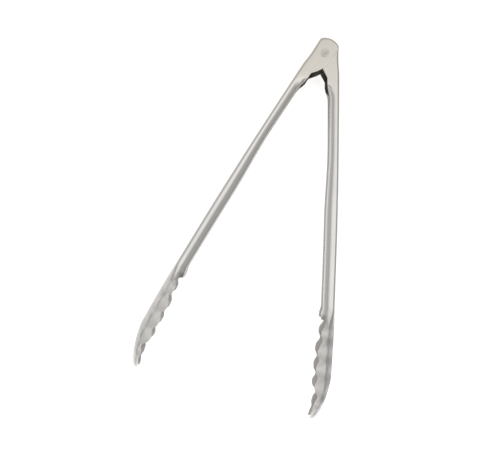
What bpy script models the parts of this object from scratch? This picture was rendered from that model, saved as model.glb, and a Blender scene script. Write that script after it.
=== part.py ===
"""Spring loaded kitchen tongs: two pressed sheet arms on one rivet, opened by a wire spring in the head.

The tongs lie on their side on the plane z = 0. The rivet stands along +Z at x = y = 0, the head points to +Y
and the jaws point to -Y. Each arm is drawn in its own flat frame: "along" runs from the rivet to the tip, and
"out" runs square to it, away from the other arm.
"""

import math

import bmesh
import bpy
import numpy as np
from mathutils import Matrix

MM = 0.001

# Overall sizes
ARM_LENGTH = 296.4 * MM  # rivet axis to jaw tip
OPEN_ANGLE = math.radians(31.5)  # between the arms at rest
HEAD_WIDTH = 24.0 * MM  # over the outer arm's cheeks
ARM_WIDTH = 20.0 * MM
JAW_WIDTH = 26.0 * MM
SHEET = 0.9 * MM
GAP = 0.3 * MM  # between pieces that touch

# Head
HEAD_RADIUS = 13.2 * MM  # the outer arm's top is round about the rivet
HEAD_CORNER = 3.2 * MM  # radius between that top and the webs
STOP_HEIGHT = 3.6 * MM  # rivet axis to the end of the inner arm's web
OUTER_WEB = 9.9 * MM  # rivet axis to the outer arm's web
INNER_WEB = 11.7 * MM  # rivet axis to the inner arm's web
CHEEK_REACH = 6.9 * MM  # outer cheek's free edge, beyond the rivet axis
CHEEK_SPLAY = 0.08
CHEEK_TOP = 3.5 * MM  # the free edge is straight from the head's end to this far above the rivet axis
CHEEK_FALL = 7.0 * MM  # the free edge is straight down to here
CHEEK_END = 19.5 * MM  # the cheek has tapered to the flange here
INNER_NOSE = 7.2 * MM  # radius of the inner cheeks round the rivet

# Arm channel
ARM_OFFSET = 1.0 * MM  # web's step outward below the head
STEP_START = 4.0 * MM
ARM_START = 18.0 * MM  # end of that step
ARM_BOW = 1.2 * MM  # outward bow of the handle
HANDLE_LEAN = 0.6 * MM  # web's run inward over the handle
BEND = 2.2 * MM  # outer radius between web and flange
FLAT_FLANGE = 10.2 * MM  # flange depth before the edge is rolled
FLANGE_TOP = 8.0 * MM  # flange depth just after that
FLANGE_DEPTH = 10.0 * MM  # flange depth from the middle of the handle on
CURL_START = 24.0 * MM
CURL_TAKE_UP = 12.0 * MM  # the edge is fully rolled this much later
CURL_RADIUS = 1.8 * MM  # outside of the rolled edge
CURL_TURN = math.radians(250)
CURL_MOUTH = 2.3 * MM  # outside radius of the roll where it ends
MOUTH_RUN = 10.0 * MM  # the roll widens over this length
MOUTH_DROP = 1.3 * MM  # and stands this much deeper
CREASE = 0.42  # where the handle's flange turns inward, as a share of its depth
CREASE_EASE = 0.8 * MM  # half the width of that crease
FLANGE_LEAN = math.radians(22)  # beyond the crease

# Jaw
JAW_LENGTH = 79.4 * MM
JAW_LEAN = 3.6 * MM  # web's run inward over the jaw, before the hook
HOOK_LENGTH = 38.0 * MM
HOOK_DROP = 11.5 * MM  # how far the hook carries the tip inward
JAW_DEPTH = 12.8 * MM
JAW_START_DEPTH = 7.6 * MM
TIP_DEPTH = 4.0 * MM
TIP_WIDTH = 10.0 * MM
BAND_DEPTH = 4.6 * MM  # sloping band between web and lip
BAND_WIDTH = 3.4 * MM
BAND_WAVE = 0.16  # share of its depth by which the band waves with the scallops
SCALLOPS = 4
SCALLOP_PITCH = 15.0 * MM
LAST_NICK = 18.8 * MM  # last full scallop's end, back from the tip
TIP_PITCH = 12.5 * MM  # of the small scallop beyond it
TIP_TAPER = 14.0 * MM  # the lip falls back over this length, about that end
SCALLOP_CUT = 2.2 * MM
FLUTE = 1.0 * MM  # how far the lip waves in and out with the scallops
NOTCH = 4.4 * MM  # between the end of the roll and the lip

# Rivet
SHANK_RADIUS = 2.1 * MM
SHANK_FIT = 0.2 * MM  # radial
RIVET_HEAD_RADIUS = 3.3 * MM
RIVET_HEAD = 0.7 * MM

# Spring
WIRE = 1.6 * MM
COIL_RADIUS = 4.2 * MM  # to the middle of the wire
COIL_TURNS = 6
COIL_STEP = 1.9 * MM  # pitch
LEG_REACH = 30.0 * MM  # rivet axis to a leg's end, along the arm

# Fineness
WEB_STEPS, BEND_STEPS, LIP_STEPS, CURL_STEPS = 1, 3, 3, 5
EDGE_SHARE = 0.4  # share of a flat flange that the edge's steps cover
ROUND = 32
WIRE_SIDES = 8
TURN_STEPS = 20

INNER_HEAD_WIDTH = HEAD_WIDTH - 2 * SHEET - 2 * GAP
MIDDLE = max(JAW_WIDTH / 2, HEAD_WIDTH / 2 + GAP + RIVET_HEAD)  # height of the tongs' mid-plane
JAW_START = ARM_LENGTH - JAW_LENGTH
CURL_END = JAW_START - NOTCH / 2
LIP_START = JAW_START + NOTCH / 2


def ease(value, start, end):
    """0 before start, 1 after end, and smooth between."""
    t = min(max((value - start) / (end - start), 0.0), 1.0)
    return t * t * (3 - 2 * t)


def mix(a, b, t):
    return a + (b - a) * t


def hook(along, power):
    """0 until the hook starts, then up to 1 at the tip."""
    return max(0.0, (along - ARM_LENGTH + HOOK_LENGTH) / HOOK_LENGTH) ** power


def web_line(along, head_web):
    """The web's outer face: its distance out from the rivet's axis."""
    handle = head_web + ARM_OFFSET * ease(along, STEP_START, ARM_START)
    span = min(max((along - ARM_START) / (JAW_START - ARM_START), 0.0), 1.0)
    bow = ARM_BOW * math.sin(math.pi * span) - HANDLE_LEAN * span
    lean = JAW_LEAN * max(0.0, along - JAW_START) / JAW_LENGTH
    return handle + bow - lean - HOOK_DROP * hook(along, 1.77)


def scallop(along):
    """The lip's wave: 1 at a scallop's middle and -1 at a nick. The stretch before the first one is longer."""
    last = ARM_LENGTH - LAST_NICK
    first = last - (SCALLOPS - 0.5) * SCALLOP_PITCH
    if along > first:
        pitch = SCALLOP_PITCH if along < last else TIP_PITCH
        return -math.cos(2 * math.pi * (along - last) / pitch)
    return math.cos(math.pi * min(1.0, (first - along) / (first - LIP_START)))


def depth_line(along):
    """The flange's or the lip's depth below the web's outer face."""
    handle = mix(FLAT_FLANGE, FLANGE_TOP, ease(along, CURL_START, CURL_START + CURL_TAKE_UP))
    handle = mix(handle, FLANGE_DEPTH, ease(along, 75 * MM, 135 * MM))
    if along <= CURL_END:
        return handle + MOUTH_DROP * ease(along, CURL_END - MOUTH_RUN, CURL_END - MOUTH_RUN / 3)
    rise = ease(along, LIP_START, LIP_START + 2 * SCALLOP_PITCH)
    edge = mix(JAW_START_DEPTH + SCALLOP_CUT, JAW_DEPTH, rise)
    fall = ease(along, ARM_LENGTH - LAST_NICK - 0.75 * TIP_TAPER, ARM_LENGTH - LAST_NICK + 0.25 * TIP_TAPER)
    edge -= (JAW_DEPTH - TIP_DEPTH) * mix(hook(along, 1.8), fall, 0.4)
    nick = ((1 - scallop(along)) / 2) ** 2
    return edge - SCALLOP_CUT * nick * (1 - hook(along, 4))


def half_width(along, head_width):
    """Half the arm's width at a place along it."""
    width = mix(head_width, ARM_WIDTH, ease(along, CHEEK_END, 70 * MM))
    width = mix(width, JAW_WIDTH, ease(along, JAW_START - 20 * MM, JAW_START + 12 * MM))
    nose = max(0.0, (along - ARM_LENGTH + HOOK_LENGTH / 2) / (HOOK_LENGTH / 2))
    return mix(width, TIP_WIDTH, nose ** 3) / 2


def past_crease(deep, depth):
    """How far a place on the flange is beyond the crease, with the corner eased."""
    past = deep - CREASE * depth
    if abs(past) < CREASE_EASE:
        return (past + CREASE_EASE) ** 2 / (4 * CREASE_EASE)
    return max(0.0, past)


def section(along, depth, half):
    """Half of a cross-section's outer face, from the web's middle to the free edge, as (across, deep) pairs."""
    in_jaw = ease(along, CURL_END - MOUTH_RUN, LIP_START + 6 * MM)
    thin = 1 - 0.55 * hook(along, 1)
    band_deep = mix(BEND, BAND_DEPTH * thin * (1 - BAND_WAVE * scallop(along)), in_jaw)
    band_wide = mix(BEND, BAND_WIDTH * thin, in_jaw)
    web = half - band_wide
    points = [(web * i / WEB_STEPS, 0.0) for i in range(WEB_STEPS)]
    for i in range(BEND_STEPS + 1):
        t = i / BEND_STEPS
        across = mix(math.sin(math.pi / 2 * t), 0.94 * t, in_jaw)
        deep = mix(1 - math.cos(math.pi / 2 * t), t, in_jaw)
        points.append((web + band_wide * across, band_deep * deep))
    curl = ease(along, CURL_START, CURL_START + CURL_TAKE_UP) if along <= CURL_END else 0.0
    turn = max(curl * CURL_TURN, 1e-4)
    lean = curl * FLANGE_LEAN
    rolled = mix(CURL_RADIUS, CURL_MOUTH, ease(along, CURL_END - MOUTH_RUN, CURL_END))
    radius = mix(EDGE_SHARE * (depth - band_deep), rolled * CURL_TURN, curl) / turn
    start = depth - radius * (math.sin(min(turn, math.pi / 2)) - math.sin(lean))
    for i in range(1, LIP_STEPS + 1):
        deep = mix(band_deep, start, i / LIP_STEPS)
        points.append((half - math.tan(lean) * past_crease(deep, depth), deep))
    edge = points[-1][0] - radius * math.cos(lean)
    for i in range(1, CURL_STEPS + 1):
        t = mix(lean, turn, i / CURL_STEPS)
        points.append((edge + radius * math.cos(t), start + radius * (math.sin(t) - math.sin(lean))))
    if along > CURL_END:
        wave = FLUTE * scallop(along) * (1 - 0.5 * hook(along, 1))
        points = [(across + (wave - FLUTE) * ease(deep, 0.3 * depth, depth), deep) for across, deep in points]
    return points


def outer_rows():
    """Stations of the outer arm: (web point, free edge point), each as (along, out). Its web turns over the top
    of the head, round the rivet, and ends flush with the inner arm's web, which comes to rest against that end."""
    rows = []
    wall = [(-y, x) for x, y in head_wall()]
    for i, (along, out) in enumerate(wall):
        edge = mix(-CHEEK_TOP, 0.4 * CHEEK_FALL, i / len(wall))
        rows.append(((along, out), (edge, free_edge(edge))))
    start, edge = rows[-1][0][0], rows[-1][1][0]
    for t in np.linspace(0, 1, 6)[1:]:
        along, low = mix(start, CHEEK_FALL, t), mix(edge, CHEEK_FALL, t)
        rows.append(((along, web_line(along, OUTER_WEB)), (low, free_edge(low))))
    end = web_line(CHEEK_END, OUTER_WEB) - FLAT_FLANGE
    for t in np.linspace(0, 1, 8)[1:]:
        along = mix(CHEEK_FALL, CHEEK_END, t)
        rows.append(((along, web_line(along, OUTER_WEB)), (along, mix(free_edge(CHEEK_FALL), end, t ** 1.7))))
    return rows + handle_rows(OUTER_WEB)


def free_edge(along):
    """The outer cheeks' free edge, which splays a little towards the top."""
    return -CHEEK_REACH + CHEEK_SPLAY * along


def arc(centre, radius, start, end, steps):
    """Points of an arc as (x, y) pairs."""
    return [(centre[0] + radius * math.cos(a), centre[1] + radius * math.sin(a))
            for a in np.linspace(start, end, steps + 1)]


def head_wall():
    """The outer arm's wall over the head, x = out and y = up, from its free end to the top of its web."""
    inner_out = math.pi - OPEN_ANGLE  # the inner arm's outward direction in this frame
    rise = math.sqrt((HEAD_RADIUS - HEAD_CORNER) ** 2 - (INNER_WEB - HEAD_CORNER) ** 2)
    x_axis = np.array((math.cos(inner_out), math.sin(inner_out)))
    y_axis = np.array((math.sin(OPEN_ANGLE), math.cos(OPEN_ANGLE)))
    right = (INNER_WEB - HEAD_CORNER) * x_axis + rise * y_axis
    left_web = web_line(-HEAD_RADIUS, OUTER_WEB)
    left = (left_web - HEAD_CORNER,
            math.sqrt((HEAD_RADIUS - HEAD_CORNER) ** 2 - (left_web - HEAD_CORNER) ** 2))
    end = INNER_WEB * x_axis + (STOP_HEIGHT + 2 * GAP) * y_axis
    from_right = math.atan2(right[1], right[0])
    from_left = math.atan2(left[1], left[0])
    return ([tuple(end)] + arc(right, HEAD_CORNER, inner_out, from_right, 3)
            + arc((0, 0), HEAD_RADIUS, from_right, from_left, 6)[1:-1]
            + arc(left, HEAD_CORNER, from_left, 0, 4))


def inner_rows():
    """Stations of the inner arm, whose cheeks are round about the rivet."""
    far = math.hypot(STOP_HEIGHT, INNER_WEB)
    touch = math.atan2(STOP_HEIGHT, INNER_WEB) + math.acos(INNER_NOSE / far)
    low = web_line(CHEEK_END, INNER_WEB) - FLAT_FLANGE
    leave = 2 * math.pi - math.atan2(CHEEK_END, low) - math.acos(INNER_NOSE / math.hypot(CHEEK_END, low))
    rows = []
    steps = 9
    for i in range(steps + 1):
        angle = mix(touch, leave, i / steps)
        along = mix(-STOP_HEIGHT, 0.3 * CHEEK_END, i / steps)
        rows.append(((along, web_line(along, INNER_WEB)),
                     (-INNER_NOSE * math.sin(angle), INNER_NOSE * math.cos(angle))))
    (start, _), (edge, edge_out) = rows[-1]
    for t in np.linspace(0, 1, 6)[1:]:
        along = mix(start, CHEEK_END, t)
        rows.append(((along, web_line(along, INNER_WEB)), (mix(edge, CHEEK_END, t), mix(edge_out, low, t))))
    return rows + handle_rows(INNER_WEB)


def handle_rows(head_web):
    """Stations along the handle and the jaw, closer together where the shape changes faster."""
    roll = np.linspace(CHEEK_END, CURL_START + CURL_TAKE_UP, 9)[1:]
    handle = np.linspace(CURL_START + CURL_TAKE_UP, CURL_END - MOUTH_RUN, 10)[1:]
    mouth = np.linspace(CURL_END - MOUTH_RUN, CURL_END, 5)[1:]
    lip = np.linspace(LIP_START, ARM_LENGTH - HOOK_LENGTH / 2, 31)
    tip = ARM_LENGTH - HOOK_LENGTH / 2 * (1 - np.sin(np.linspace(0, math.pi / 2, 11)[1:]))
    rows = []
    for along in np.concatenate([roll, handle, mouth, lip, tip]):
        web = web_line(along, head_web)
        rows.append(((along, web), (along, web - depth_line(along))))
    return rows


def arm_mesh(name, rows, head_width):
    """The arm's outer face as one grid of quads, in its own frame: x = out, y = -along, z = across."""
    mesh = bmesh.new()
    grid = []
    for (along, out), (edge_along, edge_out) in rows:
        depth = math.hypot(edge_along - along, edge_out - out)
        down = ((edge_along - along) / depth, (edge_out - out) / depth)
        half = section(along, depth, half_width(along, head_width))
        across = [(-a, d) for a, d in reversed(half[1:])] + half
        grid.append([mesh.verts.new((out + down[1] * d, -(along + down[0] * d), a)) for a, d in across])
    rolled = CURL_STEPS
    for upper, lower in zip(grid[:-1], grid[1:]):
        notch = -upper[len(upper) // 2].co.y < CURL_END + GAP and -lower[len(lower) // 2].co.y > LIP_START - GAP
        skip = rolled if notch else 0
        for k in range(skip, len(upper) - 1 - skip):
            mesh.faces.new((upper[k], upper[k + 1], lower[k + 1], lower[k]))
    data = bpy.data.meshes.new(name)
    mesh.to_mesh(data)
    mesh.free()
    return data


def steel(name, colour, roughness):
    """A bare metal."""
    material = bpy.data.materials.new(name)
    material.use_nodes = True
    shader = material.node_tree.nodes["Principled BSDF"]
    shader.inputs["Base Color"].default_value = (*colour, 1.0)
    shader.inputs["Metallic"].default_value = 1.0
    shader.inputs["Roughness"].default_value = roughness
    return material


def add_object(name, data, material, parent=None):
    """Link a new object, with its material, under its parent."""
    obj = bpy.data.objects.new(name, data)
    if material:
        data.materials.append(material)
    bpy.context.collection.objects.link(obj)
    obj.parent = parent
    return obj


def smooth(mesh, angle=35):
    """Shade smooth, but keep true corners sharp."""
    mesh.shade_smooth()
    mesh.set_sharp_from_angle(angle=math.radians(angle))


def turned(name, profile):
    """A closed solid turned about z from (radius, height) pairs that run from the bottom to the top."""
    mesh = bmesh.new()
    rings = []
    for radius, height in profile:
        rings.append([mesh.verts.new((radius * math.cos(2 * math.pi * i / ROUND),
                                      radius * math.sin(2 * math.pi * i / ROUND), height))
                      for i in range(ROUND)])
    for low, high in zip(rings[:-1], rings[1:]):
        for i in range(ROUND):
            j = (i + 1) % ROUND
            mesh.faces.new((low[i], low[j], high[j], high[i]))
    mesh.faces.new(reversed(rings[0]))
    mesh.faces.new(rings[-1])
    data = bpy.data.meshes.new(name)
    mesh.to_mesh(data)
    mesh.free()
    smooth(data)
    return data


def make_arm(name, rows, head_width, frame, material):
    """An arm: its outer face thickened inward to the sheet, with the rivet's hole through both cheeks."""
    arm = add_object(name, arm_mesh(name, rows, head_width), material, frame)
    sheet = arm.modifiers.new("sheet", "SOLIDIFY")
    sheet.thickness = SHEET
    sheet.offset = -1
    sheet.use_rim = True
    reach = HEAD_WIDTH
    drill = add_object(f"{name}_drill", turned(f"{name}_drill", [(SHANK_RADIUS + SHANK_FIT, -reach),
                                                                 (SHANK_RADIUS + SHANK_FIT, reach)]),
                       None, frame)
    drill.hide_render = True
    drill.display_type = "WIRE"
    hole = arm.modifiers.new("rivet_hole", "BOOLEAN")
    hole.operation = "DIFFERENCE"
    hole.solver = "EXACT"
    hole.object = drill
    smooth(arm.data)
    return arm


def rivet_profile():
    """The rivet from its lower head to its upper head, about the mid-plane."""
    face = HEAD_WIDTH / 2 + GAP
    end = face + RIVET_HEAD
    soft = 0.35 * RIVET_HEAD
    half = [(SHANK_RADIUS, face), (RIVET_HEAD_RADIUS, face), (RIVET_HEAD_RADIUS, end - soft),
            (RIVET_HEAD_RADIUS - soft, end)]
    return [(r, -z) for r, z in reversed(half)] + half


def leg(head_web, side):
    """A spring leg's points about the rivet's axis, from its end along the web up to where it meets the coil."""
    half = side * OPEN_ANGLE / 2
    points = []
    for along in np.linspace(LEG_REACH, LEG_REACH * 0.45, 4):
        out = web_line(along, head_web) - SHEET - GAP - WIRE / 2
        points.append((side * out * math.cos(half) + along * math.sin(half),
                       side * out * math.sin(half) - along * math.cos(half)))
    x, y = points[-1]
    meet = math.atan2(y, x) + side * math.acos(COIL_RADIUS / math.hypot(x, y))
    return points, meet


def spring_points():
    """The wire's middle line: one leg, the coil round the rivet, and the other leg."""
    low_leg, low_turn = leg(OUTER_WEB, -1)
    high_leg, high_turn = leg(INNER_WEB, 1)
    low_turn += 2 * math.pi * (low_turn < high_turn)
    sweep = low_turn - high_turn + 2 * math.pi * COIL_TURNS
    height = sweep / (2 * math.pi) * COIL_STEP
    steps = round(sweep / (2 * math.pi) * TURN_STEPS)
    points = [(x, y, -height / 2) for x, y in low_leg]
    for i in range(steps + 1):
        turn = low_turn - sweep * i / steps
        points.append((COIL_RADIUS * math.cos(turn), COIL_RADIUS * math.sin(turn),
                       height * (i / steps - 0.5)))
    return points + [(x, y, height / 2) for x, y in reversed(high_leg)]


def make_spring(frame, material):
    """The spring's wire as a bevelled curve with closed ends."""
    curve = bpy.data.curves.new("torsion_spring", "CURVE")
    curve.dimensions = "3D"
    curve.bevel_depth = WIRE / 2
    curve.bevel_resolution = WIRE_SIDES // 2 - 2
    curve.use_fill_caps = True
    points = spring_points()
    spline = curve.splines.new("POLY")
    spline.points.add(len(points) - 1)
    for point, place in zip(spline.points, points):
        point.co = (*place, 1)
    return add_object("torsion_spring", curve, material, frame)


def main():
    for obj in list(bpy.data.objects):
        bpy.data.objects.remove(obj, do_unlink=True)
    bright = steel("bright_sheet", (0.72, 0.70, 0.68), 0.25)
    bright_inner = steel("bright_sheet_inner", (0.70, 0.69, 0.68), 0.25)
    rivet_steel = steel("rivet_steel", (0.68, 0.66, 0.64), 0.3)
    wire = steel("spring_wire", (0.42, 0.42, 0.43), 0.35)

    hinge = add_object("hinge", None, None)
    hinge.location = (0, 0, MIDDLE)
    outer = add_object("outer_frame", None, None, hinge)
    outer.rotation_euler = (0, math.pi, -OPEN_ANGLE / 2)
    inner = add_object("inner_frame", None, None, hinge)
    inner.rotation_euler = (0, 0, OPEN_ANGLE / 2)

    make_arm("outer_arm", outer_rows(), HEAD_WIDTH, outer, bright)
    make_arm("inner_arm", inner_rows(), INNER_HEAD_WIDTH, inner, bright_inner)
    add_object("pivot_rivet", turned("pivot_rivet", rivet_profile()), rivet_steel, hinge)
    make_spring(hinge, wire)


main()
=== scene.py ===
"""Looks of the spring loaded kitchen tongs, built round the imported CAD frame.

Both arms are rebuilt here from the same section rules as the CAD part, on a finer grid, with a softer crease
and shallower flutes. The rivet and the spring are rebuilt as well. Lengths are in metres. An arm's own frame
has x = out from the other arm, y = towards the head along the arm, and z = across the sheet, with the rivet's
axis at the origin.
"""

import math

import bmesh
import bpy
import numpy as np
from mathutils import Matrix, Vector


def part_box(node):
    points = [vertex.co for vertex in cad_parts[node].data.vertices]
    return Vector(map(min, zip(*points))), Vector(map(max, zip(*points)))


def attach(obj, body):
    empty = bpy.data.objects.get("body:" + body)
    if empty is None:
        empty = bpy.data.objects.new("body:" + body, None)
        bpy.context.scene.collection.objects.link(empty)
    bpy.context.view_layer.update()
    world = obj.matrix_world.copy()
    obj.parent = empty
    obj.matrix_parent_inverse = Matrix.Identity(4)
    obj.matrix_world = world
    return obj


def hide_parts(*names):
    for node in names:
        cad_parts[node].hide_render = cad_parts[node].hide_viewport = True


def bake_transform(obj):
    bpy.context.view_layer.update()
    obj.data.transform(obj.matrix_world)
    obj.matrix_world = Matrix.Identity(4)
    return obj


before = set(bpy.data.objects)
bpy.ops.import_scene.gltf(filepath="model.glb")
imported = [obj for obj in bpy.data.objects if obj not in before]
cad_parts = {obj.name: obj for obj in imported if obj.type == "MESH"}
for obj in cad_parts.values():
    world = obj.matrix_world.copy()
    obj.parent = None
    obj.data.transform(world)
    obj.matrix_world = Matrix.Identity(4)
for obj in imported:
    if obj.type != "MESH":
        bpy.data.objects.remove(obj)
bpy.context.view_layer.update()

MM = 0.001

# Overall sizes
ARM_LENGTH = 296.4 * MM  # rivet axis to jaw tip
OPEN_ANGLE = math.radians(31.5)  # between the arms at rest
HEAD_WIDTH = 24.0 * MM  # over the outer arm's cheeks
ARM_WIDTH = 20.0 * MM
JAW_WIDTH = 26.0 * MM
SHEET = 0.9 * MM
GAP = 0.3 * MM  # between pieces that touch

# Head
HEAD_RADIUS = 13.2 * MM  # the outer arm's top is round about the rivet
HEAD_CORNER = 3.2 * MM  # radius between that top and the webs
STOP_HEIGHT = 3.6 * MM  # rivet axis to the end of the inner arm's web
OUTER_WEB = 9.9 * MM  # rivet axis to the outer arm's web
INNER_WEB = 11.7 * MM  # rivet axis to the inner arm's web
CHEEK_REACH = 6.9 * MM  # outer cheek's free edge, beyond the rivet axis
CHEEK_SPLAY = 0.08
CHEEK_TOP = 3.5 * MM  # the free edge is straight from the head's end to this far above the rivet axis
CHEEK_FALL = 7.0 * MM  # the free edge is straight down to here
CHEEK_END = 19.5 * MM  # the cheek has tapered to the flange here
INNER_NOSE = 7.2 * MM  # radius of the inner cheeks round the rivet

# Arm channel
ARM_OFFSET = 1.0 * MM  # web's step outward below the head
STEP_START = 4.0 * MM
ARM_START = 18.0 * MM  # end of that step
WIDTH_SETTLED = 70 * MM  # the arm has narrowed to its width here
DEPTH_FROM, DEPTH_TO = 75 * MM, 135 * MM  # the flange deepens over this stretch
ARM_BOW = 1.2 * MM  # outward bow of the handle
HANDLE_LEAN = 0.6 * MM  # web's run inward over the handle
BEND = 2.2 * MM  # outer radius between web and flange
FLAT_FLANGE = 10.2 * MM  # flange depth before the edge is rolled
FLANGE_TOP = 8.0 * MM  # flange depth just after that
FLANGE_DEPTH = 10.0 * MM  # flange depth from the middle of the handle on
CURL_START = 24.0 * MM
CURL_TAKE_UP = 12.0 * MM  # the edge is fully rolled this much later
CURL_RADIUS = 1.8 * MM  # outside of the rolled edge
CURL_TURN = math.radians(250)
CURL_MOUTH = 2.3 * MM  # outside radius of the roll where it ends
MOUTH_RUN = 10.0 * MM  # the roll widens over this length
MOUTH_DROP = 1.3 * MM  # and stands this much deeper
CREASE = 0.42  # where the handle's flange turns inward, as a share of its depth
INNER_CREASE = 0.60  # the same, on the inner arm
CREASE_EASE = 1.5 * MM  # half the width of that crease
FLANGE_LEAN = math.radians(22)  # beyond the crease

# Jaw
JAW_LENGTH = 79.4 * MM
FLARE_ABOVE, FLARE_BELOW = 20 * MM, 12 * MM  # the arm widens over this stretch about the jaw's start
JAW_LEAN = 3.6 * MM  # web's run inward over the jaw, before the hook
HOOK_LENGTH = 38.0 * MM
HOOK_DROP = 11.5 * MM  # how far the hook carries the tip inward
JAW_DEPTH = 12.8 * MM
JAW_START_DEPTH = 7.6 * MM
TIP_DEPTH = 4.0 * MM
TIP_WIDTH = 10.0 * MM
BAND_DEPTH = 4.6 * MM  # sloping band between web and lip
BAND_WIDTH = 3.4 * MM
BAND_START = 6 * MM  # the band is complete this far below the top of the lip
BAND_WAVE = 0.16  # share of its depth by which the band waves with the scallops
SCALLOPS = 4
SCALLOP_PITCH = 15.0 * MM
LAST_NICK = 18.8 * MM  # last full scallop's end, back from the tip
TIP_PITCH = 12.5 * MM  # of the small scallop beyond it
TIP_TAPER = 14.0 * MM  # the lip falls back over this length, about that end
SCALLOP_CUT = 2.2 * MM
FLUTE = 0.55 * MM  # how far the lip waves in and out with the scallops
NOTCH = 4.4 * MM  # between the end of the roll and the lip

# Rivet
SHANK_RADIUS = 2.1 * MM
SHANK_FIT = 0.2 * MM  # radial
RIVET_HEAD_RADIUS = 3.3 * MM
RIVET_RISE = 0.45 * MM  # from the head's seat to its flat top
RIVET_RIM = 0.16 * MM  # radius round that top
RIVET_SEAT = 0.1 * MM  # bevel where the head meets the cheek
RIVET_PUNCH = ((1.1, 0.0), (0.95, 0.03), (0.7, 0.12), (0.35, 0.17), (0.02, 0.18))  # radius and depth in mm

# Spring
WIRE = 1.6 * MM
COIL_RADIUS = 4.2 * MM  # to the middle of the wire
COIL_TURNS = 6
COIL_STEP = 1.9 * MM  # pitch
LEG_REACH = 30.0 * MM  # rivet axis to a leg's end, along the arm

# Fineness of the looks
WEB_STEPS, BEND_STEPS, LIP_STEPS, CURL_STEPS = 4, 5, 9, 10
EDGE_SHARE = 0.4  # share of a flat flange that the edge's steps cover
FINE = 3  # stations for each one of the CAD part
ROUND = 64
RIM_STEPS = 6
WIRE_SIDES = 16
TURN_STEPS = 48
WIRE_STEP = 0.6 * MM  # between points along the wire
WIRE_ROUNDS = 3  # of easing the wire's corners
CUT_EDGE = 0.33 * MM  # rounding of the sheet's cut edges
BEVEL_FROM = math.radians(55)  # edges that turn more than this are rounded
SHARP_FROM = math.radians(50)  # and these keep a crisp shading line

INNER_HEAD_WIDTH = HEAD_WIDTH - 2 * SHEET - 2 * GAP
MIDDLE = (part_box("pivot_rivet")[0].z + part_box("pivot_rivet")[1].z) / 2
JAW_START = ARM_LENGTH - JAW_LENGTH
CURL_END = JAW_START - NOTCH / 2
LIP_START = JAW_START + NOTCH / 2

# Colours
STEEL_WARM = (0.71, 0.665, 0.60)  # at the head, where it is a painted warm reflection; also the rivet's lighter tone
STEEL_NEUTRAL = (0.70, 0.685, 0.665)  # below it
STEEL_COOL = (0.66, 0.65, 0.63)
STEEL_DARK = (0.54, 0.525, 0.505)
# painted shade, blended in over the bends, the roll, the jaw's crease and the roll's mouth
STEEL_SHADED = (0.34, 0.335, 0.33)
# painted shadow on the cut edges at the head
STEEL_EDGE_SHADOW = (0.10, 0.095, 0.09)
WIRE_LIGHT = (0.40, 0.39, 0.38)
WIRE_DARK = (0.18, 0.175, 0.17)
FLOOR_WHITE = ((0.90, 0.90, 0.90), (0.94, 0.94, 0.94))
GLOW_WHITE = ((0.97, 0.97, 0.97), (1.0, 1.0, 1.0))

# How much painted shade darkens the sheet across its fold, as (place, share) stops: the web ends at 0.25, the
# bend at 0.5 and the flange at 0.75.
FOLD_SHADE = [(0.0, 0.0), (0.25, 0.1), (0.40, 0.30), (0.52, 0.0)]
# painted shade over the rolled edge
ROLL_SHADE = [(0.73, 0.0), (0.78, 0.15), (0.86, 0.7)]
# painted shade along the jaw's crease between band and lip
JAW_CREASE_SHADE = [(0.22, 0.0), (0.34, 0.18), (0.46, 0.55), (0.52, 0.75), (0.60, 0.15), (0.8, 0.0)]
JAW_SATIN = 0.22  # the jaws are this much rougher
WARM_END, NEUTRAL_START = 15 * MM, 60 * MM  # the painted warm reflection fades out over this stretch, from the rivet
DARK_EDGE_END, PLAIN_EDGE_START = 22 * MM, 34 * MM  # the cut edges' painted shadow is full up to the first and gone by the second, from the rivet
MOUTH_SHADE = (5 * MM, 2 * MM)  # painted shade darkens the roll over this stretch above its end

# Texture scales: noise per metre, and stretched noise as (along, across)
GRAIN, STREAK, WIRE_LINES = (60, 5200), (22, 900), (45, 7000)
CLOUD, SMUDGE, CREASE_PATCHES, SHEET_WAVE = 38.0, 95.0, 160.0, 26.0
RIVET_RINGS, RIVET_CLOUD, WIRE_CLOUD, FLOOR_TOOTH = 900.0, 420.0, 260.0, 900.0

# Studio
VIEW_LEAN = math.radians(16.8)  # the camera is turned by this about the vertical
CAMERA_AT = (-17.8 * MM, -149.6 * MM, 575.0 * MM)
CAMERA_LENS = 49.23
CAMERA_SENSOR = 36.0
NEAR_CLIP = 0.01
FLOOR_SIZE = 6.0
FLOOR_DROP = 0.4 * MM  # keeps the floor off the rivet's lower head
FLOOR_GLOW = 0.55
LAMP_TILT = math.radians(12)  # the brightest part of the room is this far to the right of overhead
# The room's brightness against the cosine of the angle from that part
ROOM = [(0.0, 1.12), (0.35, 1.0), (0.62, 0.60), (0.84, 0.54), (0.91, 0.75), (0.956, 1.0), (0.985, 1.15),
        (1.0, 1.22)]
ROOM_TINT = (1.0, 0.995, 0.985)
RIGHT_DIM = 0.68  # low on the right, the room is this much dimmer
RIGHT_DIM_FROM, RIGHT_DIM_TO = 0.40, 0.75
FILL_AIM = (0.0, -0.13, 0.0)
FILL_AT = (0.0, -0.13, 1.8)
FILL_SIZE = (1.6, 1.6)
FILL_GLOW = 0.9


def ease(value, start, end):
    """0 before start, 1 after end, and smooth between."""
    t = min(max((value - start) / (end - start), 0.0), 1.0)
    return t * t * (3 - 2 * t)


def mix(a, b, t):
    return a + (b - a) * t


def hook(along, power):
    """0 until the hook starts, then up to 1 at the tip."""
    return max(0.0, (along - ARM_LENGTH + HOOK_LENGTH) / HOOK_LENGTH) ** power


def web_line(along, head_web):
    """The web's outer face: its distance out from the rivet's axis."""
    handle = head_web + ARM_OFFSET * ease(along, STEP_START, ARM_START)
    span = min(max((along - ARM_START) / (JAW_START - ARM_START), 0.0), 1.0)
    bow = ARM_BOW * math.sin(math.pi * span) - HANDLE_LEAN * span
    lean = JAW_LEAN * max(0.0, along - JAW_START) / JAW_LENGTH
    return handle + bow - lean - HOOK_DROP * hook(along, 1.77)


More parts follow.
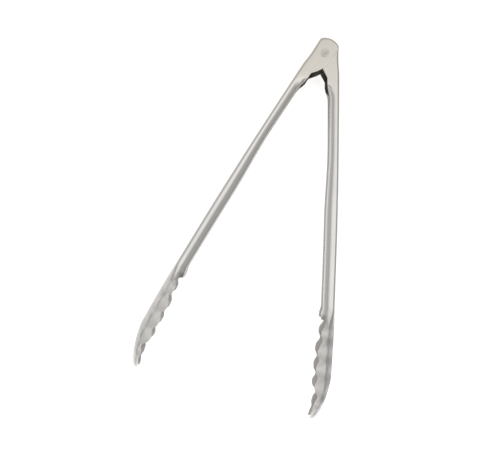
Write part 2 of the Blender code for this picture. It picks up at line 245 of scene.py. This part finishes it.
def scallop(along):
    """The lip's wave: 1 at a scallop's middle and -1 at a nick. The stretch before the first one is longer."""
    last = ARM_LENGTH - LAST_NICK
    first = last - (SCALLOPS - 0.5) * SCALLOP_PITCH
    if along > first:
        pitch = SCALLOP_PITCH if along < last else TIP_PITCH
        return -math.cos(2 * math.pi * (along - last) / pitch)
    return math.cos(math.pi * min(1.0, (first - along) / (first - LIP_START)))


def depth_line(along):
    """The flange's or the lip's depth below the web's outer face."""
    handle = mix(FLAT_FLANGE, FLANGE_TOP, ease(along, CURL_START, CURL_START + CURL_TAKE_UP))
    handle = mix(handle, FLANGE_DEPTH, ease(along, DEPTH_FROM, DEPTH_TO))
    if along <= CURL_END:
        return handle + MOUTH_DROP * ease(along, CURL_END - MOUTH_RUN, CURL_END - MOUTH_RUN / 3)
    rise = ease(along, LIP_START, LIP_START + 2 * SCALLOP_PITCH)
    edge = mix(JAW_START_DEPTH + SCALLOP_CUT, JAW_DEPTH, rise)
    fall = ease(along, ARM_LENGTH - LAST_NICK - 0.75 * TIP_TAPER, ARM_LENGTH - LAST_NICK + 0.25 * TIP_TAPER)
    edge -= (JAW_DEPTH - TIP_DEPTH) * mix(hook(along, 1.8), fall, 0.4)
    nick = ((1 - scallop(along)) / 2) ** 2
    return edge - SCALLOP_CUT * nick * (1 - hook(along, 4))


def half_width(along, head_width):
    """Half the arm's width at a place along it."""
    width = mix(head_width, ARM_WIDTH, ease(along, CHEEK_END, WIDTH_SETTLED))
    width = mix(width, JAW_WIDTH, ease(along, JAW_START - FLARE_ABOVE, JAW_START + FLARE_BELOW))
    nose = max(0.0, (along - ARM_LENGTH + HOOK_LENGTH / 2) / (HOOK_LENGTH / 2))
    return mix(width, TIP_WIDTH, nose ** 3) / 2


def past_crease(deep, depth, crease):
    """How far a place on the flange is beyond the crease, with the corner eased."""
    past = deep - crease * depth
    if abs(past) < CREASE_EASE:
        return (past + CREASE_EASE) ** 2 / (4 * CREASE_EASE)
    return max(0.0, past)


def section(along, depth, half, crease):
    """Half of a cross-section's outer face, from the web's middle to the free edge, as (across, deep) pairs."""
    in_jaw = ease(along, CURL_END - MOUTH_RUN, LIP_START + BAND_START)
    thin = 1 - 0.55 * hook(along, 1)
    band_deep = mix(BEND, BAND_DEPTH * thin * (1 - BAND_WAVE * scallop(along)), in_jaw)
    band_wide = mix(BEND, BAND_WIDTH * thin, in_jaw)
    web = half - band_wide
    points = [(web * i / WEB_STEPS, 0.0) for i in range(WEB_STEPS)]
    for i in range(BEND_STEPS + 1):
        t = i / BEND_STEPS
        across = mix(math.sin(math.pi / 2 * t), 0.94 * t, in_jaw)
        deep = mix(1 - math.cos(math.pi / 2 * t), t, in_jaw)
        points.append((web + band_wide * across, band_deep * deep))
    curl = ease(along, CURL_START, CURL_START + CURL_TAKE_UP) if along <= CURL_END else 0.0
    turn = max(curl * CURL_TURN, 1e-4)
    lean = curl * FLANGE_LEAN
    rolled = mix(CURL_RADIUS, CURL_MOUTH, ease(along, CURL_END - MOUTH_RUN, CURL_END))
    radius = mix(EDGE_SHARE * (depth - band_deep), rolled * CURL_TURN, curl) / turn
    start = depth - radius * (math.sin(min(turn, math.pi / 2)) - math.sin(lean))
    for i in range(1, LIP_STEPS + 1):
        deep = mix(band_deep, start, i / LIP_STEPS)
        points.append((half - math.tan(lean) * past_crease(deep, depth, crease), deep))
    edge = points[-1][0] - radius * math.cos(lean)
    for i in range(1, CURL_STEPS + 1):
        t = mix(lean, turn, i / CURL_STEPS)
        points.append((edge + radius * math.cos(t), start + radius * (math.sin(t) - math.sin(lean))))
    if along > CURL_END:
        wave = FLUTE * scallop(along) * (1 - 0.5 * hook(along, 1))
        points = [(across + (wave - FLUTE) * ease(deep, 0.3 * depth, depth), deep) for across, deep in points]
    return points


def outer_rows():
    """Stations of the outer arm: (web point, free edge point), each as (along, out). Its web turns over the
    top of the head, round the rivet, and ends flush with the inner arm's web, which comes to rest against it."""
    rows = []
    wall = [(-y, x) for x, y in head_wall()]
    for i, (along, out) in enumerate(wall):
        edge = mix(-CHEEK_TOP, 0.4 * CHEEK_FALL, i / len(wall))
        rows.append(((along, out), (edge, free_edge(edge))))
    start, edge = rows[-1][0][0], rows[-1][1][0]
    for t in np.linspace(0, 1, 5 * FINE + 1)[1:]:
        along, low = mix(start, CHEEK_FALL, t), mix(edge, CHEEK_FALL, t)
        rows.append(((along, web_line(along, OUTER_WEB)), (low, free_edge(low))))
    end = web_line(CHEEK_END, OUTER_WEB) - FLAT_FLANGE
    for t in np.linspace(0, 1, 7 * FINE + 1)[1:]:
        along = mix(CHEEK_FALL, CHEEK_END, t)
        rows.append(((along, web_line(along, OUTER_WEB)), (along, mix(free_edge(CHEEK_FALL), end, t ** 1.7))))
    return rows + handle_rows(OUTER_WEB)


def free_edge(along):
    """The outer cheeks' free edge, which splays a little towards the top."""
    return -CHEEK_REACH + CHEEK_SPLAY * along


def arc(centre, radius, start, end, steps):
    """Points of an arc as (x, y) pairs."""
    return [(centre[0] + radius * math.cos(a), centre[1] + radius * math.sin(a))
            for a in np.linspace(start, end, steps + 1)]


def head_wall():
    """The outer arm's wall over the head, x = out and y = up, from its free end to the top of its web."""
    inner_out = math.pi - OPEN_ANGLE  # the inner arm's outward direction in this frame
    rise = math.sqrt((HEAD_RADIUS - HEAD_CORNER) ** 2 - (INNER_WEB - HEAD_CORNER) ** 2)
    x_axis = np.array((math.cos(inner_out), math.sin(inner_out)))
    y_axis = np.array((math.sin(OPEN_ANGLE), math.cos(OPEN_ANGLE)))
    right = (INNER_WEB - HEAD_CORNER) * x_axis + rise * y_axis
    left_web = web_line(-HEAD_RADIUS, OUTER_WEB)
    left = (left_web - HEAD_CORNER,
            math.sqrt((HEAD_RADIUS - HEAD_CORNER) ** 2 - (left_web - HEAD_CORNER) ** 2))
    end = INNER_WEB * x_axis + (STOP_HEIGHT + 2 * GAP) * y_axis
    from_right = math.atan2(right[1], right[0])
    from_left = math.atan2(left[1], left[0])
    corner = np.array(arc(right, HEAD_CORNER, inner_out, inner_out, 0)[0])
    cap = [tuple(mix(end, corner, t)) for t in (0.0, 0.5)]
    return (cap + arc(right, HEAD_CORNER, inner_out, from_right, 3 * FINE)
            + arc((0, 0), HEAD_RADIUS, from_right, from_left, 6 * FINE)[1:-1]
            + arc(left, HEAD_CORNER, from_left, 0, 4 * FINE))


def inner_rows():
    """Stations of the inner arm, whose cheeks are round about the rivet."""
    far = math.hypot(STOP_HEIGHT, INNER_WEB)
    touch = math.atan2(STOP_HEIGHT, INNER_WEB) + math.acos(INNER_NOSE / far)
    low = web_line(CHEEK_END, INNER_WEB) - FLAT_FLANGE
    leave = 2 * math.pi - math.atan2(CHEEK_END, low) - math.acos(INNER_NOSE / math.hypot(CHEEK_END, low))
    rows = []
    steps = 9 * FINE
    for i in range(steps + 1):
        angle = mix(touch, leave, i / steps)
        along = mix(-STOP_HEIGHT, 0.3 * CHEEK_END, i / steps)
        rows.append(((along, web_line(along, INNER_WEB)),
                     (-INNER_NOSE * math.sin(angle), INNER_NOSE * math.cos(angle))))
    (start, _), (edge, edge_out) = rows[-1]
    for t in np.linspace(0, 1, 5 * FINE + 1)[1:]:
        along = mix(start, CHEEK_END, t)
        rows.append(((along, web_line(along, INNER_WEB)), (mix(edge, CHEEK_END, t), mix(edge_out, low, t))))
    return rows + handle_rows(INNER_WEB)


def handle_rows(head_web):
    """Stations along the handle and the jaw, closer together where the shape changes faster."""
    roll = np.linspace(CHEEK_END, CURL_START + CURL_TAKE_UP, 8 * FINE + 1)[1:]
    handle = np.linspace(CURL_START + CURL_TAKE_UP, CURL_END - MOUTH_RUN, 12 * FINE + 1)[1:]
    mouth = np.linspace(CURL_END - MOUTH_RUN, CURL_END, 4 * FINE + 1)[1:]
    lip = np.linspace(LIP_START, ARM_LENGTH - HOOK_LENGTH / 2, 30 * FINE + 1)
    tip = ARM_LENGTH - HOOK_LENGTH / 2 * (1 - np.sin(np.linspace(0, math.pi / 2, 10 * FINE + 1)[1:]))
    rows = []
    for along in np.concatenate([roll, handle, mouth, lip, tip]):
        web = web_line(along, head_web)
        rows.append(((along, web), (along, web - depth_line(along))))
    return rows


def arm_mesh(name, rows, head_width, crease):
    """The arm's outer face as one grid of quads, in its own frame: x = out, y = -along, z = across.

    The UV map "sheet" is in metres: u runs along the arm and v across the sheet, so that brushing can follow
    the arm. The UV map "fold" has u from 0 to 1 over the web, to 2 over the bend, to 3 over the flange and to 4
    over the roll, and v in metres along the arm.
    """
    mesh = bmesh.new()
    uv = mesh.loops.layers.uv.new("sheet")
    fold_uv = mesh.loops.layers.uv.new("fold")
    fold = [i / WEB_STEPS for i in range(WEB_STEPS)] + [1 + i / BEND_STEPS for i in range(BEND_STEPS + 1)]
    fold += [2 + (i + 1) / LIP_STEPS for i in range(LIP_STEPS)]
    fold += [3 + (i + 1) / CURL_STEPS for i in range(CURL_STEPS)]
    fold = list(reversed(fold[1:])) + fold
    grid, flat = [], []
    for (along, out), (edge_along, edge_out) in rows:
        depth = math.hypot(edge_along - along, edge_out - out)
        down = ((edge_along - along) / depth, (edge_out - out) / depth)
        half = section(along, depth, half_width(along, head_width), crease)
        across = [(-a, d) for a, d in reversed(half[1:])] + half
        grid.append([mesh.verts.new((out + down[1] * d, -(along + down[0] * d), a)) for a, d in across])
        run = [0.0]
        for (a, d), (b, e) in zip(half[:-1], half[1:]):
            run.append(run[-1] + math.hypot(b - a, e - d))
        run = [-r for r in reversed(run[1:])] + run
        flat.append([(along + down[0] * d, r) for (_, d), r in zip(across, run)])
    for i in range(len(grid) - 1):
        upper, lower = grid[i], grid[i + 1]
        notch = -upper[len(upper) // 2].co.y < CURL_END + GAP and -lower[len(lower) // 2].co.y > LIP_START - GAP
        skip = CURL_STEPS if notch else 0
        for k in range(skip, len(upper) - 1 - skip):
            face = mesh.faces.new((upper[k], upper[k + 1], lower[k + 1], lower[k]))
            corners = (flat[i][k], flat[i][k + 1], flat[i + 1][k + 1], flat[i + 1][k])
            for loop, (u, v), column in zip(face.loops, corners, (k, k + 1, k + 1, k)):
                loop[uv].uv = (u, v)
                loop[fold_uv].uv = (fold[column], u)
    data = bpy.data.meshes.new(name)
    mesh.to_mesh(data)
    mesh.free()
    return data


def link(name, data, *materials):
    """A new object in the scene, with its materials."""
    obj = bpy.data.objects.new(name, data)
    for material in materials:
        data.materials.append(material)
    bpy.context.scene.collection.objects.link(obj)
    return obj


def applied(obj):
    """The object with its modifiers made real."""
    bpy.context.view_layer.update()
    graph = bpy.context.evaluated_depsgraph_get()
    data = bpy.data.meshes.new_from_object(obj.evaluated_get(graph), preserve_all_data_layers=True,
                                           depsgraph=graph)
    data.name = obj.name
    obj.modifiers.clear()
    obj.data = data
    return obj


def turned(name, profile):
    """A closed solid turned about z from (radius, height) pairs that run from the bottom to the top."""
    mesh = bmesh.new()
    rings = []
    for radius, height in profile:
        rings.append([mesh.verts.new((radius * math.cos(2 * math.pi * i / ROUND),
                                      radius * math.sin(2 * math.pi * i / ROUND), height))
                      for i in range(ROUND)])
    for low, high in zip(rings[:-1], rings[1:]):
        for i in range(ROUND):
            j = (i + 1) % ROUND
            mesh.faces.new((low[i], low[j], high[j], high[i]))
    mesh.faces.new(reversed(rings[0]))
    mesh.faces.new(rings[-1])
    data = bpy.data.meshes.new(name)
    mesh.to_mesh(data)
    mesh.free()
    return data


def make_arm(name, rows, head_width, crease, place, materials):
    """An arm: its outer face thickened inward to the sheet, with soft cut edges and the rivet's holes."""
    arm = link(name, arm_mesh(name, rows, head_width, crease), *materials)
    arm.data.transform(place)
    sheet = arm.modifiers.new("sheet", "SOLIDIFY")
    sheet.thickness = SHEET
    sheet.offset = -1
    sheet.use_rim = True
    sheet.material_offset_rim = 1
    drill = link(f"{name}_drill", turned(f"{name}_drill", [(SHANK_RADIUS + SHANK_FIT, -HEAD_WIDTH),
                                                           (SHANK_RADIUS + SHANK_FIT, HEAD_WIDTH)]))
    drill.matrix_world = place
    hole = arm.modifiers.new("rivet_hole", "BOOLEAN")
    hole.operation = "DIFFERENCE"
    hole.solver = "EXACT"
    hole.object = drill
    soft = arm.modifiers.new("soft_edges", "BEVEL")
    soft.width = CUT_EDGE
    soft.segments = 2
    soft.material = 1
    soft.limit_method = "ANGLE"
    soft.angle_limit = BEVEL_FROM
    soft.use_clamp_overlap = True
    applied(arm)
    bpy.data.objects.remove(drill)
    arm.data.shade_smooth()
    arm.data.set_sharp_from_angle(angle=SHARP_FROM)
    even = arm.modifiers.new("even_normals", "WEIGHTED_NORMAL")
    even.keep_sharp = True
    return applied(arm)


def rivet_profile():
    """The rivet from its lower head to its upper head, about the mid-plane: flat heads with a rounded rim and a
    shallow punch mark in the middle."""
    face = HEAD_WIDTH / 2 + GAP
    top = face + RIVET_RISE
    half = [(SHANK_RADIUS, face), (RIVET_HEAD_RADIUS - RIVET_SEAT, face),
            (RIVET_HEAD_RADIUS, face + RIVET_SEAT)]
    for i in range(RIM_STEPS + 1):
        t = math.pi / 2 * i / RIM_STEPS
        half.append((RIVET_HEAD_RADIUS - RIVET_RIM * (1 - math.cos(t)), top - RIVET_RIM * (1 - math.sin(t))))
    half += [(radius * MM, top - sunk * MM) for radius, sunk in RIVET_PUNCH]
    return [(r, -z) for r, z in reversed(half)] + half


def leg(head_web, side):
    """A spring leg's points about the rivet's axis, from its end along the web up to where the coil starts."""
    half = side * OPEN_ANGLE / 2
    points = []
    for along in np.linspace(LEG_REACH, LEG_REACH * 0.45, 4):
        out = web_line(along, head_web) - SHEET - GAP - WIRE / 2
        points.append((side * out * math.cos(half) + along * math.sin(half),
                       side * out * math.sin(half) - along * math.cos(half)))
    x, y = points[-1]
    meet = math.atan2(y, x) + side * math.acos(COIL_RADIUS / math.hypot(x, y))
    return points, meet


def spring_points():
    """The wire's middle line: one leg, the coil round the rivet, and the other leg."""
    low_leg, low_turn = leg(OUTER_WEB, -1)
    high_leg, high_turn = leg(INNER_WEB, 1)
    low_turn += 2 * math.pi * (low_turn < high_turn)
    sweep = low_turn - high_turn + 2 * math.pi * COIL_TURNS
    height = sweep / (2 * math.pi) * COIL_STEP
    steps = round(sweep / (2 * math.pi) * TURN_STEPS)
    points = [(x, y, -height / 2) for x, y in low_leg]
    for i in range(steps + 1):
        turn = low_turn - sweep * i / steps
        points.append((COIL_RADIUS * math.cos(turn), COIL_RADIUS * math.sin(turn),
                       height * (i / steps - 0.5)))
    return points + [(x, y, height / 2) for x, y in reversed(high_leg)]


def evened(points, step, rounds):
    """The same path with a point every step or so, and with its corners eased."""
    path = [Vector(points[0])]
    for a, b in zip(points[:-1], points[1:]):
        a, b = Vector(a), Vector(b)
        count = max(1, round((b - a).length / step))
        path += [a.lerp(b, i / count) for i in range(1, count + 1)]
    for _ in range(rounds):
        middle = [(a + 2 * b + c) / 4 for a, b, c in zip(path[:-2], path[1:-1], path[2:])]
        path = [path[0]] + middle + [path[-1]]
    return path


def wire_mesh(name, path, radius):
    """A round wire along a path, with UVs in metres and cut ends whose rims are eased."""
    mesh = bmesh.new()
    uv = mesh.loops.layers.uv.new("sheet")
    first = (path[1] - path[0]).normalized()
    side = first.orthogonal().normalized()
    rings, run = [], [0.0]
    last = len(path) - 1
    rim, face = 0.25 * radius, 0.72  # how far back the end's rim starts, and its flat's share of the radius
    stops = [(0, 0.0, face), (0, rim, 1.0)] + [(i, 0.0, 1.0) for i in range(1, last)]
    stops += [(last, -rim, 1.0), (last, 0.0, face)]
    turns = [2 * math.pi * k / WIRE_SIDES for k in range(WIRE_SIDES)]
    for i, shift, share in stops:
        along = (path[min(i + 1, last)] - path[max(i - 1, 0)]).normalized()
        side = (side - along * side.dot(along)).normalized()
        other = along.cross(side)
        centre = path[i] + along * shift
        ring = [centre + radius * share * (math.cos(a) * side + math.sin(a) * other) for a in turns]
        rings.append((centre, [mesh.verts.new(place) for place in ring]))
    for (c0, _), (c1, _) in zip(rings[:-1], rings[1:]):
        run.append(run[-1] + (c1 - c0).length)
    around = 2 * math.pi * radius / WIRE_SIDES
    for j in range(len(rings) - 1):
        low, high = rings[j][1], rings[j + 1][1]
        for k in range(WIRE_SIDES):
            n = (k + 1) % WIRE_SIDES
            quad = mesh.faces.new((low[k], low[n], high[n], high[k]))
            corners = ((run[j], k), (run[j], k + 1), (run[j + 1], k + 1), (run[j + 1], k))
            for loop, (u, v) in zip(quad.loops, corners):
                loop[uv].uv = (u, v * around)
    mesh.faces.new(reversed(rings[0][1]))
    mesh.faces.new(rings[-1][1])
    bmesh.ops.recalc_face_normals(mesh, faces=mesh.faces[:])
    data = bpy.data.meshes.new(name)
    mesh.to_mesh(data)
    mesh.free()
    data.shade_smooth()
    data.set_sharp_from_angle(angle=SHARP_FROM)
    return data


def fill_ramp(node, stops, tint=(1.0, 1.0, 1.0)):
    """Puts (position, value) stops into a colour ramp, as tinted greys."""
    ends = node.color_ramp.elements
    while len(ends) < len(stops):
        ends.new(0.5)
    for end, (place, level) in zip(ends, stops):
        end.position = place
        end.color = (*(level * share for share in tint), 1.0)


class Nodes:
    """Short ways to add nodes to a material and join them."""

    def __init__(self, name):
        self.material = bpy.data.materials.new(name)
        self.material.use_nodes = True
        self.tree = self.material.node_tree
        self.shader = self.tree.nodes["Principled BSDF"]

    def add(self, kind, inputs=(), **settings):
        """A new node; an input that is a socket is linked, and any other is set."""
        node = self.tree.nodes.new(kind)
        for key, value in settings.items():
            setattr(node, key, value)
        for key, value in dict(inputs).items():
            if isinstance(value, bpy.types.NodeSocket):
                self.tree.links.new(value, node.inputs[key])
            else:
                node.inputs[key].default_value = value
        return node

    def sheet_coords(self, along, across):
        """The UV map, in metres, scaled so that grain is drawn out along the arm."""
        uv = self.add("ShaderNodeUVMap", uv_map="sheet").outputs["UV"]
        return self.add("ShaderNodeMapping", {"Vector": uv, "Scale": (along, across, 1.0)}).outputs["Vector"]

    def noise(self, vector, scale, detail=3.0, rough=0.55):
        """Fractal noise, as a value about 0.5."""
        return self.add("ShaderNodeTexNoise", {"Vector": vector, "Scale": scale, "Detail": detail,
                                               "Roughness": rough}).outputs["Fac"]

    def span(self, value, low, high, to_low=0.0, to_high=1.0):
        """The value mapped and clamped from low..high to another range."""
        return self.add("ShaderNodeMapRange", {"Value": value, "From Min": low, "From Max": high,
                                               "To Min": to_low, "To Max": to_high}).outputs["Result"]

    def ramp(self, value, stops):
        """A grey ramp through (position, value) stops."""
        node = self.add("ShaderNodeValToRGB", {0: value})
        fill_ramp(node, stops)
        return node.outputs[0]

    def chain(self, operation, values):
        """The values put together one after another by a maths node's operation."""
        total = values[0]
        for value in values[1:]:
            total = self.add("ShaderNodeMath", {0: total, 1: value}, operation=operation).outputs[0]
        return total

    def sum(self, *values):
        return self.chain("ADD", values)

    def product(self, *values):
        return self.chain("MULTIPLY", values)

    def blend(self, share, first, second):
        """A colour from first to second, each of which is a colour or a socket."""
        node = self.add("ShaderNodeMix", {"Factor": share}, data_type="RGBA")
        for key, value in ((6, first), (7, second)):
            if isinstance(value, bpy.types.NodeSocket):
                self.tree.links.new(value, node.inputs[key])
            else:
                node.inputs[key].default_value = (*value, 1.0)
        return node.outputs[2]


def sheet_steel(name, edge_shadow=False):
    """Bright pressed stainless sheet: a fine grain along the arm, faint clouds and handling marks, a painted
    warm reflection at the head, and painted shade over the bends, the roll, the jaw's crease and the roll's
    mouth. The cut edges carry a painted shadow at the head."""
    n = Nodes(name)
    place = n.add("ShaderNodeTexCoord").outputs["Object"]
    grain = n.noise(n.sheet_coords(*GRAIN), 1.0, 4.0, 0.6)
    streak = n.noise(n.sheet_coords(*STREAK), 1.0, 2.0, 0.5)
    cloud = n.noise(place, CLOUD, 3.0, 0.6)
    smudge = n.span(n.noise(place, SMUDGE, 4.0, 0.65), 0.56, 0.74)
    fold = n.add("ShaderNodeUVMap", uv_map="fold").outputs["UV"]
    across, along = n.add("ShaderNodeSeparateXYZ", {0: fold}).outputs[:2]
    # painted warm reflection at the head, fading to the neutral steel below
    tone = n.blend(n.span(along, WARM_END, NEUTRAL_START), STEEL_WARM, STEEL_NEUTRAL)
    tone = n.blend(n.span(cloud, 0.3, 0.7, 0.0, 0.5), tone, STEEL_COOL)
    tone = n.blend(n.span(streak, 0.35, 0.75, 0.0, 0.22), tone, STEEL_DARK)
    # painted shade over the bend
    tone = n.blend(n.ramp(n.span(across, 0, 4), FOLD_SHADE), tone, STEEL_SHADED)
    # painted shade over the roll, from where it is rolled down to the notch
    above_notch = n.span(along, LIP_START, CURL_END)
    in_roll = n.product(n.span(along, CURL_START, CURL_START + CURL_TAKE_UP), above_notch)
    tone = n.blend(n.product(n.ramp(n.span(across, 0, 4), ROLL_SHADE), in_roll), tone, STEEL_SHADED)
    # painted shade along the jaw's crease, in noise patches
    in_jaw = n.span(along, CURL_END - MOUTH_RUN, LIP_START + BAND_START)
    patches = n.span(n.noise(place, CREASE_PATCHES), 0.3, 0.6, 0.35, 1.0)
    crease = n.product(n.ramp(n.span(across, 0, 4), JAW_CREASE_SHADE), in_jaw, patches)
    tone = n.blend(crease, tone, STEEL_SHADED)
    # painted shade in the mouth of the roll, just above its end
    at_end = n.span(along, CURL_END - MOUTH_SHADE[0], CURL_END - MOUTH_SHADE[1])
    mouth = n.product(at_end, above_notch, n.span(across, 2.3, 2.9))
    tone = n.blend(mouth, tone, STEEL_SHADED)
    # painted shadow along the cut edges at the head
    if edge_shadow:
        tone = n.blend(n.span(along, DARK_EDGE_END, PLAIN_EDGE_START), STEEL_EDGE_SHADOW, tone)
    n.tree.links.new(tone, n.shader.inputs["Base Color"])
    rough = n.sum(n.span(grain, 0.3, 0.7, 0.15, 0.22), n.span(cloud, 0.3, 0.7, -0.015, 0.03),
                  n.span(smudge, 0, 1, 0.0, 0.07))
    rough = n.sum(rough, n.span(in_jaw, 0, 1, 0.0, JAW_SATIN))
    n.tree.links.new(rough, n.shader.inputs["Roughness"])
    n.shader.inputs["Metallic"].default_value = 1.0
    n.shader.inputs["Anisotropic"].default_value = 0.35
    tangent = n.add("ShaderNodeTangent", direction_type="UV_MAP", uv_map="sheet").outputs["Tangent"]
    n.tree.links.new(tangent, n.shader.inputs["Tangent"])
    fine = n.add("ShaderNodeBump", {"Height": grain, "Strength": 0.10, "Distance": 0.00003}).outputs["Normal"]
    wave = n.noise(place, SHEET_WAVE, 1.0, 0.4)
    bump = n.add("ShaderNodeBump", {"Height": wave, "Strength": 0.35, "Distance": 0.0003, "Normal": fine})
    n.tree.links.new(bump.outputs["Normal"], n.shader.inputs["Normal"])
    return n.material


def turned_steel(name):
    """The rivet: bright steel with faint rings from the tool that closed it."""
    n = Nodes(name)
    place = n.add("ShaderNodeTexCoord").outputs["Object"]
    flat = n.add("ShaderNodeMapping", {"Vector": place, "Scale": (1.0, 1.0, 0.0)}).outputs["Vector"]
    rings = n.add("ShaderNodeTexWave", {"Vector": flat, "Scale": RIVET_RINGS, "Distortion": 1.5, "Detail": 2.0},
                  wave_type="RINGS", rings_direction="SPHERICAL").outputs["Fac"]
    cloud = n.noise(place, RIVET_CLOUD, 3.0, 0.6)
    n.tree.links.new(n.blend(n.span(cloud, 0.3, 0.7), STEEL_WARM, STEEL_DARK), n.shader.inputs["Base Color"])
    n.tree.links.new(n.sum(n.span(rings, 0, 1, 0.20, 0.28), n.span(cloud, 0.3, 0.7, 0.0, 0.08)),
                     n.shader.inputs["Roughness"])
    n.shader.inputs["Metallic"].default_value = 1.0
    bump = n.add("ShaderNodeBump", {"Height": rings, "Strength": 0.25, "Distance": 0.00004})
    n.tree.links.new(bump.outputs["Normal"], n.shader.inputs["Normal"])
    return n.material


def spring_wire(name):
    """Drawn spring wire: darker than the sheet, with die lines along it and faint clouds."""
    n = Nodes(name)
    place = n.add("ShaderNodeTexCoord").outputs["Object"]
    lines = n.noise(n.sheet_coords(*WIRE_LINES), 1.0, 3.0, 0.6)
    cloud = n.noise(place, WIRE_CLOUD, 3.0, 0.6)
    tone = n.blend(n.span(cloud, 0.35, 0.7), WIRE_LIGHT, WIRE_DARK)
    tone = n.blend(n.span(lines, 0.55, 0.8, 0.0, 0.5), tone, WIRE_DARK)
    n.tree.links.new(tone, n.shader.inputs["Base Color"])
    n.tree.links.new(n.sum(n.span(lines, 0.3, 0.7, 0.24, 0.34), n.span(cloud, 0.3, 0.7, 0.0, 0.08)),
                     n.shader.inputs["Roughness"])
    n.shader.inputs["Metallic"].default_value = 1.0
    bump = n.add("ShaderNodeBump", {"Height": lines, "Strength": 0.2, "Distance": 0.00004})
    n.tree.links.new(bump.outputs["Normal"], n.shader.inputs["Normal"])
    return n.material


def floor_paint(name):
    """A white light table, with the slightest tooth."""
    n = Nodes(name)
    place = n.add("ShaderNodeTexCoord").outputs["Object"]
    tooth = n.noise(place, FLOOR_TOOTH, 2.0, 0.5)
    n.tree.links.new(n.blend(n.span(tooth, 0.3, 0.7), *FLOOR_WHITE), n.shader.inputs["Base Color"])
    n.tree.links.new(n.blend(n.span(tooth, 0.3, 0.7), *GLOW_WHITE), n.shader.inputs["Emission Color"])
    n.shader.inputs["Emission Strength"].default_value = FLOOR_GLOW
    n.shader.inputs["Roughness"].default_value = 0.9
    n.shader.inputs["Specular IOR Level"].default_value = 0.1
    return n.material


def panel(name, at, aim, size, glow, mirrored):
    """A soft studio panel at a place, turned to face a point, with its radiance; mirrored if steel shows it."""
    light = bpy.data.lights.new(name, "AREA")
    light.shape = "RECTANGLE"
    light.size, light.size_y = size
    light.energy = glow * math.pi * size[0] * size[1]
    obj = bpy.data.objects.new(name, light)
    bpy.context.scene.collection.objects.link(obj)
    obj.location = at
    obj.rotation_euler = (Vector(aim) - Vector(at)).to_track_quat("-Z", "Y").to_euler()
    obj.visible_glossy = mirrored
    return obj


def studio():
    """A white light table, a pale room that is brightest a little to the right of overhead, a fill that steel
    doesn't mirror, and the camera straight overhead."""
    bpy.ops.mesh.primitive_plane_add(size=FLOOR_SIZE, location=(0, 0, -FLOOR_DROP))
    floor = bpy.context.object
    floor.name = "floor"
    floor.data.materials.append(floor_paint("floor_paint"))

    world = bpy.data.worlds.new("room")
    bpy.context.scene.world = world
    world.use_nodes = True
    tree = world.node_tree
    back = tree.nodes["Background"]
    coords = tree.nodes.new("ShaderNodeTexCoord")
    toward = tree.nodes.new("ShaderNodeVectorMath")
    toward.operation = "DOT_PRODUCT"
    toward.inputs[1].default_value = (math.sin(LAMP_TILT), 0.0, math.cos(LAMP_TILT))
    ramp = tree.nodes.new("ShaderNodeValToRGB")
    tree.links.new(coords.outputs["Generated"], toward.inputs[0])
    tree.links.new(toward.outputs["Value"], ramp.inputs[0])
    tree.links.new(ramp.outputs[0], back.inputs["Color"])
    ramp.color_ramp.interpolation = "EASE"
    fill_ramp(ramp, ROOM, ROOM_TINT)
    split = tree.nodes.new("ShaderNodeSeparateXYZ")
    dim = tree.nodes.new("ShaderNodeMapRange")
    dim.inputs["From Min"].default_value = RIGHT_DIM_FROM
    dim.inputs["From Max"].default_value = RIGHT_DIM_TO
    dim.inputs["To Min"].default_value = 1.0
    dim.inputs["To Max"].default_value = RIGHT_DIM
    tree.links.new(coords.outputs["Generated"], split.inputs[0])
    tree.links.new(split.outputs["X"], dim.inputs["Value"])
    tree.links.new(dim.outputs["Result"], back.inputs["Strength"])

    panel("overhead_fill", FILL_AT, FILL_AIM, FILL_SIZE, FILL_GLOW, mirrored=False)

    camera = bpy.data.cameras.new("camera")
    camera.lens = CAMERA_LENS
    camera.sensor_width = CAMERA_SENSOR
    camera.clip_start = NEAR_CLIP
    view = bpy.data.objects.new("camera", camera)
    bpy.context.scene.collection.objects.link(view)
    view.location = CAMERA_AT
    view.rotation_euler = (0, 0, VIEW_LEAN)
    bpy.context.scene.camera = view
    bpy.context.scene.view_settings.view_transform = "Standard"


hinge = Matrix.Translation((0, 0, MIDDLE))
outer_place = hinge @ Matrix.Rotation(-OPEN_ANGLE / 2, 4, "Z") @ Matrix.Rotation(math.pi, 4, "Y")
inner_place = hinge @ Matrix.Rotation(OPEN_ANGLE / 2, 4, "Z")

# the second material, on the cut edges, carries a painted shadow at the head
steel = (sheet_steel("bright_sheet"), sheet_steel("edge_shadow_steel", edge_shadow=True))
outer_arm = make_arm("outer_arm_sheet", outer_rows(), HEAD_WIDTH, CREASE, outer_place, steel)
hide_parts("outer_arm")
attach(outer_arm, "outer")

inner_arm = make_arm("inner_arm_sheet", inner_rows(), INNER_HEAD_WIDTH, INNER_CREASE, inner_place, steel)
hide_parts("inner_arm")
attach(inner_arm, "inner")

rivet = link("pivot_rivet_turned", turned("pivot_rivet_turned", rivet_profile()),
             turned_steel("rivet_steel"))
rivet.data.transform(hinge)
rivet.data.shade_smooth()
rivet.data.set_sharp_from_angle(angle=SHARP_FROM)
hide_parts("pivot_rivet")
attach(rivet, "outer")

wire_path = [hinge @ p for p in evened(spring_points(), WIRE_STEP, WIRE_ROUNDS)]
spring = link("torsion_spring_wire", wire_mesh("torsion_spring_wire", wire_path, WIRE / 2),
              spring_wire("spring_wire"))
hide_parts("torsion_spring")
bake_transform(spring)

studio()
